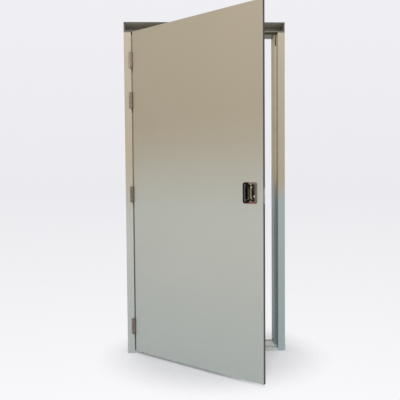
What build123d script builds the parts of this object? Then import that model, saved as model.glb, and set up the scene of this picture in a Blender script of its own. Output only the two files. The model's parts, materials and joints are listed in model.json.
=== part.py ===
from build123d import *
import math
import os

# Personnel door of a shipping container: a flush steel leaf on four hinges in its own folded frame.
# Millimetres. +X is right seen from outside, +Y goes into the container, +Z is up.
# The origin is the middle of the sill's underside. Leaf pieces are drawn shut, then swung open.

# Leaf
leaf_width = 922.0
leaf_height = 2033.0
rim_depth = 18.0  # front pan, the part seen edge on
tray_depth = 27.0  # rear tray behind the rim
tray_setback = 28.0
tray_bend = 3.0
skin = 1.5
skin_bend = 2.0
pan_return = 40.0  # lip folded in behind the front skin
open_angle = 37.1

# Frame
hinge_gap = 4.0
edge_gap = 3.0
jamb_face = 46.0
frame_depth = 120.0
frame_gauge = 2.5
frame_bend = 3.0
frame_lip = 20.0
rebate_width = 20.0
lintel_height = 58.0
lintel_gauge = 4.0
lintel_bend = 6.0
head_stop_height = 12.0
sill_rise = 14.0
sill_foot = 90.0
fixing_radius = 5.5
fixing_depth = 70.0  # from the front face to the fixing holes
fixing_low = 190.0
fixing_top_inset = 231.0

# Seals
seal_width = 10.0
seal_height = 3.7
seal_foot = 1.2
seal_relief = 0.3

# Hinges
bottom_hinge_inset = 161.0
top_hinge_inset = 175.0
top_pair_spacing = 253.0
hinge_length = 98.0
knuckle_radius = 6.7
knuckle_gap = 0.3
knuckle_root = 1.0  # how far a tongue runs into the wing
knuckle_count = 3
hinge_proud = 7.0  # pin axis in front of the frame's face
wing_reach = 18.0
frame_wing_gauge = 3.0
door_wing_gauge = 2.5
wing_clearance = 0.4
pin_radius = 2.9
pin_fit = 0.05
pin_head_radius = 4.6
pin_head_height = 1.8
pin_head_chamfer = 1.0
wing_screw_spread = 32.0
wing_screw_inset = 1.5  # head to the frame wing's outer edge
wing_corner = 2.0

# Screws
screw_head_radius = 3.4
screw_radius = 1.9
screw_length = 9.0
screw_fit = 0.05
reach_past = 1.0  # how far a cut runs past the surface it opens

# Inside the leaf
stile_width = 30.0
stile_gauge = 1.5
fit = 0.3
backing_gauge = 5.0
lock_bay_height = 180.0

# Dish and pull handle
latch_height = 1024.0  # dish centre above the leaf's bottom edge
dish_edge = 36.0  # dish to the leaf's free edge
dish_width = 88.0
dish_height = 113.0
dish_corner = 12.0
dish_gauge = 1.5
dish_chamfer = 0.8
gasket_gauge = 1.0
gasket_inset = 1.0
bowl_width = 62.0
bowl_height = 88.0
bowl_depth = 22.0
bowl_corner = 14.0
bowl_draft = 8.0
bowl_clearance = 1.0
stud_radius = 2.0
stud_side = 20.7  # stud to the dish's centre line
stud_length = 11.0
nut_width = 7.0
nut_height = 3.2
handle_bar_width = 50.0
handle_bar_height = 14.0
handle_shank_width = 13.0
handle_thickness = 7.0
handle_chamfer = 1.4
handle_bar_corner = 5.0
handle_neck = 0.75  # shank width at the bar over its width at the pin
handle_root = 4.0  # round where shank and bar meet
handle_recess = 3.5  # front of the handle below the leaf's face
handle_drop = 32.5  # handle pin below the dish centre
handle_top = 38.0
handle_pin_radius = 2.0
handle_boss_radius = 5.0
handle_pin_depth = 12.5
ear_gauge = 3.0
ear_gap = 0.5

# Lock
barrel_side = 17.0  # lock barrel right of and below the dish centre
barrel_drop = 20.0
barrel_flange_radius = 8.0
barrel_flange = 3.0
barrel_chamfer = 1.0
barrel_radius = 6.5
barrel_length = 13.0
barrel_nut_width = 17.0
barrel_nut_height = 4.0
plug_radius = 4.5
key_slot_width = 1.6
key_slot_height = 6.0
key_slot_depth = 6.0
cam_gauge = 2.5
cam_radius = 4.5
drive_radius = 2.5
drive_length = 5.0
drive_side_fit = 0.6
drive_end_fit = 0.8
bolt_throw = 14.0
bolt_height = 26.0
bolt_thickness = 10.0
bolt_body_length = 27.0
bolt_drop = 28.0
bolt_depth = 9.5  # middle of the bolt behind the leaf's face
bolt_side_fit = 0.3
bolt_edge = 1.2  # round on the bolt's nose
bolt_tip_inset = 0.5
strap_gauge = 2.5
strap_bend = 3.0
strap_tail = 32.0
strap_clearance = 0.8
face_plate_height = 84.0
face_plate_width = 13.0
face_plate_gauge = 2.0
face_plate_corner = 2.0
face_plate_drop = 15.0
guide_length = 25.0
guide_wall = 1.3
guide_screw_inset = 6.0
strike_slot_height = 104.0
strike_margin = 4.0
strike_plate_gauge = 1.2
strike_plate_border = 11.0
strike_plate_corner = 2.0
strike_box_depth = 14.0
strike_box_gauge = 1.2
strike_box_bend = 1.0

# Places worked out from the sizes above
opening_width = hinge_gap + leaf_width + edge_gap
opening_half = opening_width / 2
frame_half = opening_half + jamb_face
clear_half = opening_half - rebate_width
front_y = -frame_depth / 2
back_y = frame_depth / 2
rebate_depth = rim_depth + seal_height + seal_relief
seat_y = front_y + rebate_depth
sill_top = sill_rise + rebate_width
leaf_bottom = sill_rise + edge_gap
leaf_top = leaf_bottom + leaf_height
lintel_bottom = leaf_top + edge_gap
frame_height = lintel_bottom + lintel_height
stop_bottom = lintel_bottom - head_stop_height
leaf_left = -opening_half + hinge_gap
leaf_right = leaf_left + leaf_width
leaf_depth = rim_depth + tray_depth
axis_x = -opening_half
axis_y = front_y - hinge_proud
fixing_top = frame_height - fixing_top_inset
hinge_low = leaf_bottom + bottom_hinge_inset
hinge_high = leaf_top - top_hinge_inset
hinge_heights = [hinge_low, (hinge_low + hinge_high) / 2, hinge_high - top_pair_spacing, hinge_high]
dish_x = leaf_right - dish_edge - dish_width / 2
dish_z = leaf_bottom + latch_height
barrel_x = dish_x + barrel_side
barrel_z = dish_z - barrel_drop
bolt_z = dish_z - bolt_drop
face_plate_z = dish_z - face_plate_drop
strike_low = bolt_z - bolt_height / 2 - strike_margin
strike_high = strike_low + strike_slot_height
bay_low = dish_z - lock_bay_height / 2
bay_high = dish_z + lock_bay_height / 2

inward = (0, 1, 0)
outward = (0, -1, 0)
pieces = {}
swung = []


def block(xs, ys, zs):
    # A rectangular solid between two limits on each axis.
    spans = [high - low for low, high in (xs, ys, zs)]
    middle = [(low + high) / 2 for low, high in (xs, ys, zs)]
    return Pos(*middle) * Box(*spans)


def depth(distance):
    # How far back from the leaf's face a point lies.
    return front_y + distance


def folded(points, gauge, bend):
    # The section of one folded sheet: the line is its outer skin, the gauge lies to the left.
    return make_face(offset(FilletPolyline(*points, radius=bend), amount=gauge, side=Side.LEFT))


def rod(start, direction, radius, length):
    return extrude(Plane(origin=start, z_dir=direction) * Circle(radius), length)


def facing(x, y, z):
    # A drawing plane that looks out of the leaf's face, local y up.
    return Plane(origin=(x, y, z), x_dir=(1, 0, 0), z_dir=outward)


def screw_shape(head, shank, length):
    outline = Polyline((0, 0), (head, 0), (shank, head - shank), (shank, length), (0, length), close=True)
    return revolve(Plane.XZ * make_face(outline), Axis.Z)


def screw(start, direction):
    shape = screw_shape(screw_head_radius, screw_radius, screw_length)
    return Plane(origin=start, z_dir=direction).location * shape


def screw_seat(start, direction):
    # The countersunk hole in the plate under a screw's head.
    shape = screw_shape(screw_head_radius + screw_fit, screw_radius + screw_fit, screw_length)
    return Plane(origin=start, z_dir=direction).location * shape


def screw_hole(start, direction):
    # The plain hole behind it.
    return rod(start, direction, screw_radius + screw_fit, screw_length + screw_fit)


def nut(start, direction, width, height, bore):
    shape = extrude(RegularPolygon(width / 2, 6, major_radius=False) - Circle(bore), height)
    return Plane(origin=start, z_dir=direction).location * shape


def frame_piece(name, shape):
    pieces[name] = shape


def leaf_piece(name, shape):
    pieces[name] = shape
    swung.append(name)


# Frame: both jambs share one section, and head and sill carry the same rebate round.


def jamb_section():
    points = [
        (clear_half + frame_lip, back_y),
        (clear_half, back_y),
        (clear_half, seat_y),
        (opening_half, seat_y),
        (opening_half, front_y),
        (frame_half, front_y),
        (frame_half, back_y),
        (frame_half - frame_lip, back_y),
    ]
    return folded(points, frame_gauge, frame_bend)


def fixing_holes(side):
    holes = []
    for height in (fixing_low, fixing_top):
        start = (side * (clear_half - reach_past), depth(fixing_depth), height)
        holes.append(rod(start, (side, 0, 0), fixing_radius, frame_half - clear_half + 2 * reach_past))
    return holes


def frame_wing_screws():
    x = axis_x - wing_reach + screw_head_radius + wing_screw_inset
    y = front_y - frame_wing_gauge
    return [(x, y, z + s * wing_screw_spread) for z in hinge_heights for s in (-1, 1)]


def strike_screw_places():
    x = opening_half - strike_plate_gauge
    y = depth(bolt_depth)
    return [(x, y, z) for z in (strike_low - strike_plate_border / 2, strike_high + strike_plate_border / 2)]


def strike_slot(from_x, to_x):
    half = bolt_thickness / 2 + bolt_side_fit
    y_limits = (depth(bolt_depth - half), depth(bolt_depth + half))
    return block((from_x, to_x), y_limits, (strike_low, strike_high))


def make_jambs():
    right = extrude(jamb_section(), lintel_bottom)
    left = mirror(right, about=Plane.YZ)
    for hole in fixing_holes(1):
        right -= hole
    for hole in fixing_holes(-1):
        left -= hole
    for place in frame_wing_screws():
        left -= screw_hole(place, inward)
    right -= strike_slot(opening_half - reach_past, opening_half + frame_gauge + reach_past)
    for place in strike_screw_places():
        right -= screw_seat(place, (1, 0, 0))
    frame_piece("hinge_jamb", left)
    frame_piece("strike_jamb", right)


def make_lintel():
    points = [
        (front_y, lintel_bottom),
        (back_y, lintel_bottom),
        (back_y, frame_height),
        (front_y, frame_height),
    ]
    channel = extrude(Plane.YZ * folded(points, lintel_gauge, lintel_bend), frame_half, both=True)
    frame_piece("lintel_channel", channel)
    inner = lintel_bend - lintel_gauge
    for name, side in (("lintel_end_left", -1), ("lintel_end_right", 1)):
        xs = sorted((side * (frame_half - lintel_gauge), side * frame_half))
        zs = (lintel_bottom + lintel_gauge, frame_height - lintel_gauge)
        plate = block(xs, (front_y, back_y - lintel_gauge), zs)
        corners = plate.edges().filter_by(Axis.X).group_by(Axis.Y)[-1]
        frame_piece(name, fillet(corners, inner))


def make_head_stop():
    points = [
        (seat_y, lintel_bottom),
        (seat_y, stop_bottom),
        (back_y, stop_bottom),
        (back_y, lintel_bottom),
    ]
    section = Plane.YZ * folded(points, frame_gauge, frame_bend)
    frame_piece("head_stop", extrude(section, clear_half, both=True))


def make_sill():
    points = [
        (back_y - frame_lip / 2, 0),
        (back_y, 0),
        (back_y, sill_top),
        (seat_y, sill_top),
        (seat_y, sill_rise),
        (front_y, sill_rise),
        (front_y, 0),
        (front_y + sill_foot, 0),
    ]
    sill = extrude(Plane.YZ * folded(points, frame_gauge, frame_bend), opening_half, both=True)
    for side in (-1, 1):
        xs = sorted((side * clear_half, side * (opening_half + reach_past)))
        sill -= block(xs, (seat_y, back_y + reach_past), (-reach_past, sill_top + reach_past))
    frame_piece("sill", sill - pieces["hinge_jamb"] - pieces["strike_jamb"])


def seal_section():
    # A flat foot with a rounded bulb, drawn with its foot on the x axis.
    half = seal_width / 2
    foot = Polyline((-half, seal_foot), (-half, 0), (half, 0), (half, seal_foot))
    return make_face(foot + ThreePointArc((half, seal_foot), (0, seal_height), (-half, seal_foot)))


def seal_run(start, along, length):
    plane = Plane(origin=start, x_dir=Vector(outward).cross(Vector(along)), z_dir=along)
    return extrude(plane * seal_section(), length)


def make_seals():
    middle = opening_half - rebate_width / 2
    low = sill_rise + frame_bend
    tall = lintel_bottom - frame_bend - low
    reach = middle - seal_width / 2
    frame_piece("hinge_side_seal", seal_run((-middle, seat_y, low), (0, 0, 1), tall))
    frame_piece("strike_side_seal", seal_run((middle, seat_y, low), (0, 0, 1), tall))
    head_z = lintel_bottom - head_stop_height / 2
    frame_piece("head_seal", seal_run((-reach, seat_y, head_z), (1, 0, 0), 2 * reach))
    sill_z = sill_rise + rebate_width / 2
    frame_piece("sill_seal", seal_run((-reach, seat_y, sill_z), (1, 0, 0), 2 * reach))


def make_strike():
    y_limits = (front_y + frame_bend, seat_y - frame_bend)
    z_limits = (strike_low - strike_plate_border, strike_high + strike_plate_border)
    plate = block((opening_half - strike_plate_gauge, opening_half), y_limits, z_limits)
    plate = fillet(plate.edges().filter_by(Axis.X), strike_plate_corner)
    plate -= strike_slot(opening_half - strike_plate_gauge - reach_past, opening_half + reach_past)
    screws = []
    for place in strike_screw_places():
        plate -= screw_seat(place, (1, 0, 0))
        screws.append(screw(place, (1, 0, 0)))
    frame_piece("strike_plate", plate)
    frame_piece("strike_screws", Compound(children=screws))
    half = bolt_thickness / 2 + bolt_side_fit
    near = opening_half + frame_gauge
    far = near + strike_box_depth
    wall = strike_box_gauge
    y_limits = (depth(bolt_depth - half - wall), depth(bolt_depth + half + wall))
    box = block((near, far), y_limits, (strike_low - wall, strike_high + wall))
    box = fillet(box.edges().group_by(Axis.X)[-1], strike_box_bend)
    frame_piece("strike_box", box - strike_slot(near - reach_past, far - wall))


# Hinges: knuckles share one axis in front of the gap between jamb and leaf.


def knuckle_spans(z, first):
    # Every second knuckle of a hinge centred at z, from the bottom up.
    length = (hinge_length - (knuckle_count - 1) * knuckle_gap) / knuckle_count
    bottoms = [z - hinge_length / 2 + n * (length + knuckle_gap) for n in range(first, knuckle_count, 2)]
    return [(low, low + length) for low in bottoms]


def knuckles(z, first):
    tubes = []
    for low, high in knuckle_spans(z, first):
        tubes.append(rod((axis_x, axis_y, low), (0, 0, 1), knuckle_radius, high - low))
    return tubes


def pin_bore(z):
    return rod((axis_x, axis_y, z - hinge_length), (0, 0, 1), pin_radius + pin_fit, 2 * hinge_length)


def frame_wing(z):
    # A flat plate on the jamb's face, cut back beside the leaf's knuckles.
    low, high = z - hinge_length / 2, z + hinge_length / 2
    top_y = front_y - frame_wing_gauge
    wing = block((axis_x - wing_reach, axis_x), (top_y, front_y), (low, high))
    wing = fillet(wing.edges().filter_by(Axis.Y).group_by(Axis.X)[0], wing_corner)
    room = knuckle_radius + wing_clearance
    notch = axis_x - math.sqrt(room**2 - (hinge_proud - frame_wing_gauge) ** 2)
    for bottom, top in knuckle_spans(z, 1):
        y_limits = (top_y - reach_past, front_y + reach_past)
        wing -= block((notch, axis_x + reach_past), y_limits, (bottom - knuckle_gap, top + knuckle_gap))
    for tube in knuckles(z, 0):
        wing += tube
    wing -= pin_bore(z)
    for place in frame_wing_screws():
        if low < place[2] < high:
            wing -= screw_seat(place, inward)
    return wing


def door_wing_screws():
    x = leaf_left - door_wing_gauge
    return [(x, depth(wing_reach / 2), z + s * wing_screw_spread) for z in hinge_heights for s in (-1, 1)]


def door_wing(z):
    # A plate on the leaf's edge with a tongue out to each of its knuckles.
    low, high = z - hinge_length / 2, z + hinge_length / 2
    xs = (leaf_left - door_wing_gauge, leaf_left)
    wing = block(xs, (front_y, depth(rim_depth)), (low, high))
    wing = fillet(wing.edges().filter_by(Axis.X).group_by(Axis.Y)[-1], wing_corner)
    for bottom, top in knuckle_spans(z, 1):
        wing += block(xs, (axis_y, depth(knuckle_root)), (bottom, top))
    for tube in knuckles(z, 1):
        wing += tube
    wing -= pin_bore(z)
    for place in door_wing_screws():
        if low < place[2] < high:
            wing -= screw_seat(place, (1, 0, 0))
    return wing


def hinge_pin(z):
    # A shank with a coned head above and a riveted end below.
    low, high = z - hinge_length / 2, z + hinge_length / 2
    pin = rod((axis_x, axis_y, low), (0, 0, 1), pin_radius, hinge_length)
    head = rod((axis_x, axis_y, high), (0, 0, 1), pin_head_radius, pin_head_height)
    foot = rod((axis_x, axis_y, low), (0, 0, -1), pin_head_radius, pin_head_height)
    head = chamfer(head.edges().group_by(Axis.Z)[-1], pin_head_chamfer)
    foot = chamfer(foot.edges().group_by(Axis.Z)[0], pin_head_chamfer)
    return pin + head + foot


def make_hinges():
    for number, z in enumerate(hinge_heights, start=1):
        frame_piece(f"hinge_{number}_frame_wing", frame_wing(z))
        frame_piece(f"hinge_{number}_pin", hinge_pin(z))
        leaf_piece(f"hinge_{number}_door_wing", door_wing(z))
    frame_piece("frame_wing_screws", Compound(children=[screw(p, inward) for p in frame_wing_screws()]))
    leaf_piece("door_wing_screws", Compound(children=[screw(p, (1, 0, 0)) for p in door_wing_screws()]))


# Leaf: a front pan with a returned lip, a rear tray welded to the lip, and a frame inside.


def rounded(width, height, corner, x, y, z):
    return facing(x, y, z) * RectangleRounded(width, height, corner)


def bowl_mouth(y):
    # The hole in the skin and the gasket that the bowl drops through.
    width, height = bowl_width + 2 * bowl_clearance, bowl_height + 2 * bowl_clearance
    return rounded(width, height, bowl_corner + bowl_clearance, dish_x, y, dish_z)


def stud_places():
    side = stud_side
    rise = (dish_height + bowl_height) / 4
    return [(dish_x + sx * side, dish_z + sz * rise) for sx in (-1, 1) for sz in (-1, 1)]


def face_plate_block(grow, xs):
    half = face_plate_width / 2 + grow
    tall = face_plate_height / 2 + grow
    y_limits = (depth(bolt_depth - half), depth(bolt_depth + half))
    shape = block(xs, y_limits, (face_plate_z - tall, face_plate_z + tall))
    return fillet(shape.edges().filter_by(Axis.X), face_plate_corner + grow)


def make_front_pan():
    xs, zs = (leaf_left, leaf_right), (leaf_bottom, leaf_top)
    pan = block(xs, (front_y, depth(rim_depth)), zs)
    pan = fillet(pan.edges().group_by(Axis.Y)[0] + pan.edges().filter_by(Axis.Y), skin_bend)
    inside = (depth(skin), depth(rim_depth - skin))
    through = (depth(skin), depth(rim_depth + reach_past))
    pan -= block((leaf_left + skin, leaf_right - skin), inside, (leaf_bottom + skin, leaf_top - skin))
    pan -= block((leaf_left + pan_return, leaf_right - pan_return), through,
                 (leaf_bottom + pan_return, leaf_top - pan_return))
    pan -= extrude(bowl_mouth(front_y - reach_past), -(skin + 2 * reach_past))
    for x, z in stud_places():
        pan -= rod((x, front_y - reach_past, z), inward, stud_radius + screw_fit, skin + 2 * reach_past)
    pan -= face_plate_block(screw_fit, (leaf_right - skin - reach_past, leaf_right + reach_past))
    notch = (leaf_right - pan_return - reach_past, leaf_right - tray_setback - skin)
    pan -= block(notch, through, (bolt_z - bolt_height, bolt_z + bolt_height))
    for place in door_wing_screws():
        pan -= screw_hole(place, (1, 0, 0))
    leaf_piece("front_pan", pan)


def make_rear_tray():
    inset = tray_setback
    xs = (leaf_left + inset, leaf_right - inset)
    zs = (leaf_bottom + inset, leaf_top - inset)
    tray = block(xs, (depth(rim_depth), depth(leaf_depth)), zs)
    tray = fillet(tray.edges().group_by(Axis.Y)[-1] + tray.edges().filter_by(Axis.Y), tray_bend)
    hollow = (depth(rim_depth - reach_past), depth(leaf_depth - skin))
    tray -= block((xs[0] + skin, xs[1] - skin), hollow, (zs[0] + skin, zs[1] - skin))
    leaf_piece("rear_tray", tray)


stile_near = leaf_left + pan_return + fit
stile_far = leaf_right - pan_return - fit
stile_low = leaf_bottom + pan_return + fit
stile_high = leaf_top - pan_return - fit
inner_front = depth(skin)
inner_back = depth(leaf_depth - skin)


def lock_room(shape):
    # Take out the space that the dish, the barrel and the bolt's tail need behind the skin.
    room_back = inner_back - stile_gauge
    half = dish_height / 2
    dish_room = ((dish_x - dish_width / 2, stile_far - stile_gauge), (inner_front - reach_past, room_back))
    strap_room = ((barrel_x, leaf_right), (depth(bolt_depth), room_back))
    shape -= block(*dish_room, (dish_z - half, dish_z + half))
    return shape - block(*strap_room, (bolt_z - bolt_height / 2 - fit, bolt_z + bolt_height / 2 + fit))


def make_stiles():
    for name, web, tip in (
        ("hinge_stile", stile_near, stile_near + stile_width),
        ("latch_stile", stile_far, stile_far - stile_width),
    ):
        points = [(tip, inner_back), (web, inner_back), (web, inner_front), (tip, inner_front)]
        if web > tip:
            points.reverse()
        section = Plane.XY.offset(stile_low) * folded(points, stile_gauge, skin_bend)
        leaf_piece(name, lock_room(extrude(section, stile_high - stile_low)))
    xs = (leaf_left + skin, leaf_left + skin + backing_gauge)
    zs = (leaf_bottom + skin + fit, leaf_top - skin - fit)
    bar = block(xs, (depth(skin), depth(rim_depth - skin - fit)), zs)
    for place in door_wing_screws():
        bar -= screw_hole(place, (1, 0, 0))
    leaf_piece("hinge_backing_bar", bar)


def rail(web, tip):
    # A channel between the stiles, its web at one height and its flanges pointing to the other.
    near, far = inner_front + stile_gauge, inner_back - stile_gauge
    points = [(near, tip), (near, web), (far, web), (far, tip)]
    if web > tip:
        points.reverse()
    section = Plane.YZ.offset(stile_near + skin_bend) * folded(points, stile_gauge, skin_bend)
    return extrude(section, stile_far - stile_near - 2 * skin_bend)


def make_rails():
    leaf_piece("top_rail", rail(stile_high, stile_high - stile_width))
    leaf_piece("bottom_rail", rail(stile_low, stile_low + stile_width))
    leaf_piece("upper_lock_rail", rail(bay_high, bay_high + stile_width))
    leaf_piece("lower_lock_rail", rail(bay_low, bay_low - stile_width))


def make_cores():
    near = stile_near + stile_width + fit
    far = stile_far - stile_width - fit
    reach = stile_width + fit
    spans = {
        "core_lower": (stile_low + reach, bay_low - reach),
        "core_middle": (bay_low + fit, bay_high - fit),
        "core_upper": (bay_high + reach, stile_high - reach),
    }
    for name, zs in spans.items():
        leaf_piece(name, lock_room(block((near, far), (inner_front, inner_back), zs)))


# Dish: a pressed stainless bowl, a pull handle that swings out of it, and a keyed barrel in its floor.

dish_front = front_y - gasket_gauge - dish_gauge
floor_y = depth(bowl_depth) - dish_gauge
pin_y = depth(handle_pin_depth)
pin_z = dish_z - handle_drop
ear_inner = handle_shank_width / 2 + ear_gap
barrel_front = floor_y - barrel_flange


def bowl(inset, from_y, to_y):
    width, height = bowl_width - 2 * inset, bowl_height - 2 * inset
    mouth = rounded(width, height, bowl_corner - inset, dish_x, from_y, dish_z)
    return extrude(mouth, -(to_y - from_y), taper=bowl_draft)


def ear(side):
    # A lug on the bowl's floor that carries one end of the handle's pin.
    rise = floor_y + dish_gauge / 2 - pin_y
    outline = Circle(handle_boss_radius) + Pos(0, -rise / 2) * Rectangle(2 * handle_boss_radius, rise)
    inner = dish_x + side * ear_inner
    start = min(inner, inner + side * ear_gauge)
    plane = Plane(origin=(start, pin_y, pin_z), x_dir=(0, 0, 1), z_dir=(1, 0, 0))
    return extrude(plane * outline, ear_gauge)


def make_dish():
    flange = extrude(rounded(dish_width, dish_height, dish_corner, dish_x, dish_front, dish_z), -dish_gauge)
    flange = chamfer(flange.edges().group_by(Axis.Y)[0], dish_chamfer)
    dish = flange + bowl(0, dish_front, depth(bowl_depth))
    dish -= bowl(dish_gauge, dish_front, floor_y)
    for side in (-1, 1):
        dish += ear(side)
    for x, z in stud_places():
        dish += rod((x, dish_front + dish_gauge / 2, z), inward, stud_radius, stud_length)
    reach = ear_inner + ear_gauge + reach_past
    dish -= rod((dish_x - reach, pin_y, pin_z), (1, 0, 0), handle_pin_radius + screw_fit, 2 * reach)
    barrel_hole = (barrel_x, floor_y - reach_past, barrel_z)
    dish -= rod(barrel_hole, inward, barrel_radius + screw_fit, dish_gauge + 2 * reach_past)
    leaf_piece("latch_dish", dish)
    width = dish_width - 2 * gasket_inset
    height = dish_height - 2 * gasket_inset
    outline = rounded(width, height, dish_corner - gasket_inset, dish_x, front_y - gasket_gauge, dish_z)
    gasket = extrude(outline - bowl_mouth(front_y - gasket_gauge), -gasket_gauge)
    nuts = []
    for x, z in stud_places():
        start = (x, front_y - gasket_gauge - reach_past, z)
        gasket -= rod(start, inward, stud_radius + screw_fit, gasket_gauge + 2 * reach_past)
        nuts.append(nut((x, inner_front, z), inward, nut_width, nut_height, stud_radius + screw_fit))
    leaf_piece("dish_gasket", gasket)
    leaf_piece("dish_nuts", Compound(children=nuts))
    pin = rod((dish_x - reach, pin_y, pin_z), (1, 0, 0), handle_pin_radius, 2 * reach)
    leaf_piece("handle_pin", pin)


def make_handle():
    # A T drawn on the handle's front: a tapered shank from the pin up to the bar.
    front = depth(handle_recess)
    bar_low = handle_top - handle_bar_height
    half = handle_shank_width / 2
    neck = half * handle_neck
    neck_z = bar_low + handle_root / 2
    outline = [(-half, -handle_drop), (half, -handle_drop), (neck, neck_z), (-neck, neck_z)]
    bar = RectangleRounded(handle_bar_width, handle_bar_height, handle_bar_corner)
    tee = make_face(Polyline(*outline, close=True)) + Pos(0, handle_top - handle_bar_height / 2) * bar
    inner = [v for v in tee.vertices() if abs(v.Y - bar_low) < 0.01 and abs(v.X) < half]
    tee = fillet(inner, handle_root)
    handle = extrude(facing(dish_x, front, dish_z) * tee, -handle_thickness)
    handle = chamfer(handle.edges().group_by(Axis.Y)[0], handle_chamfer)
    handle += rod((dish_x - half, pin_y, pin_z), (1, 0, 0), handle_boss_radius, handle_shank_width)
    reach = half + reach_past
    handle -= rod((dish_x - reach, pin_y, pin_z), (1, 0, 0), handle_pin_radius + pin_fit, 2 * reach)
    leaf_piece("pull_handle", handle)


# Lock: the plug's cam carries a drive pin in a slot of the bolt's strap, so a quarter turn throws the bolt.

drive_offset = bolt_throw / 2
barrel_back = barrel_front + barrel_flange + barrel_length
cam_front = barrel_back + fit
drive_arm = drive_offset * math.sqrt(2)
strap_front = cam_front + cam_gauge + fit
bolt_left = leaf_right - bolt_tip_inset - bolt_body_length
tray_wall = leaf_right - tray_setback - skin
strap_leg = tray_wall - strap_clearance - bolt_throw - strap_gauge
guide_right = leaf_right - face_plate_gauge


def make_barrel():
    barrel = rod((barrel_x, barrel_front, barrel_z), inward, barrel_flange_radius, barrel_flange)
    barrel = chamfer(barrel.edges().group_by(Axis.Y)[0], barrel_chamfer)
    barrel += rod((barrel_x, barrel_front, barrel_z), inward, barrel_radius, barrel_flange + barrel_length)
    bore_length = barrel_back - barrel_front + 2 * reach_past
    barrel -= rod((barrel_x, barrel_front - reach_past, barrel_z), inward, plug_radius + pin_fit, bore_length)
    leaf_piece("lock_barrel", barrel)
    start = (barrel_x, depth(bowl_depth), barrel_z)
    barrel_nut = nut(start, inward, barrel_nut_width, barrel_nut_height, barrel_radius + screw_fit)
    leaf_piece("barrel_nut", barrel_nut)
    plug = rod((barrel_x, barrel_front, barrel_z), inward, plug_radius, cam_front - barrel_front)
    keyway = Box(key_slot_width, 2 * key_slot_depth, key_slot_height)
    leaf_piece("lock_plug", plug - Pos(barrel_x, barrel_front, barrel_z) * keyway)
    arm = SlotCenterToCenter(drive_arm, 2 * cam_radius)
    arm = Pos(-drive_offset / 2, -drive_offset / 2) * Rot(0, 0, 45) * arm
    cam = extrude(facing(barrel_x, cam_front, barrel_z) * arm, -cam_gauge)
    leaf_piece("lock_cam", cam)
    start = (barrel_x - drive_offset, cam_front + cam_gauge, barrel_z - drive_offset)
    leaf_piece("drive_pin", rod(start, inward, drive_radius, drive_length))


def make_bolt():
    low, high = bolt_z - bolt_height / 2, bolt_z + bolt_height / 2
    back = depth(bolt_depth + bolt_thickness / 2)
    front = back - bolt_thickness
    body = block((bolt_left, bolt_left + bolt_body_length), (front, back), (low, high))
    body = fillet(body.edges().group_by(Axis.X)[-1], bolt_edge)
    tail_back = strap_front + strap_gauge
    points = [
        (barrel_x - strap_tail / 2, tail_back),
        (strap_leg + strap_gauge, tail_back),
        (strap_leg + strap_gauge, back),
        (bolt_left + reach_past, back),
    ]
    points.reverse()
    strap = folded(points, strap_gauge, strap_bend)
    bolt = body + extrude(Plane.XY.offset(low) * strap, bolt_height)
    slot_width = 2 * (drive_radius + drive_side_fit)
    slot_height = drive_arm - drive_offset + 2 * (drive_radius + drive_end_fit)
    slot_z = barrel_z - (drive_arm + drive_offset) / 2
    slot = SlotOverall(slot_height, slot_width, rotation=90)
    start = facing(barrel_x - drive_offset, strap_front - reach_past, slot_z)
    bolt -= extrude(start * slot, -(strap_gauge + 2 * reach_past))
    leaf_piece("dead_bolt", bolt)


def face_plate_screws():
    reach = face_plate_height / 2 - guide_screw_inset
    return [(leaf_right, depth(bolt_depth), face_plate_z + s * reach) for s in (-1, 1)]


def bolt_window(xs):
    half = bolt_thickness / 2 + bolt_side_fit
    tall = bolt_height / 2 + bolt_side_fit
    return block(xs, (depth(bolt_depth - half), depth(bolt_depth + half)), (bolt_z - tall, bolt_z + tall))


def make_bolt_guide():
    plate = face_plate_block(0, (guide_right, leaf_right))
    half = bolt_thickness / 2 + bolt_side_fit + guide_wall
    y_limits = (depth(bolt_depth - half), depth(bolt_depth + half))
    z_limits = (face_plate_z - face_plate_height / 2, face_plate_z + face_plate_height / 2)
    guide = block((guide_right - guide_length, guide_right - fit), y_limits, z_limits)
    window = bolt_window((guide_right - guide_length - reach_past, leaf_right + reach_past))
    plate -= window
    guide -= window
    screws = []
    for place in face_plate_screws():
        plate -= screw_seat(place, (-1, 0, 0))
        guide -= screw_hole(place, (-1, 0, 0))
        screws.append(screw(place, (-1, 0, 0)))
    leaf_piece("lock_face_plate", plate)
    leaf_piece("bolt_guide", guide)
    leaf_piece("face_plate_screws", Compound(children=screws))


def swing_open(shape):
    return Pos(axis_x, axis_y, 0) * Rot(0, 0, -open_angle) * Pos(-axis_x, -axis_y, 0) * shape


def main():
    make_jambs()
    make_lintel()
    make_head_stop()
    make_sill()
    make_seals()
    make_strike()
    make_hinges()
    make_front_pan()
    make_rear_tray()
    make_stiles()
    make_rails()
    make_cores()
    make_dish()
    make_handle()
    make_barrel()
    make_bolt()
    make_bolt_guide()
    os.makedirs("parts", exist_ok=True)
    for name, shape in pieces.items():
        if name in swung:
            shape = swing_open(shape)
        export_step(shape, f"parts/{name}.step")
    print(len(pieces), "pieces written")


main()
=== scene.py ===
import bpy
import json
import math
from mathutils import Matrix, Vector


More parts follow.
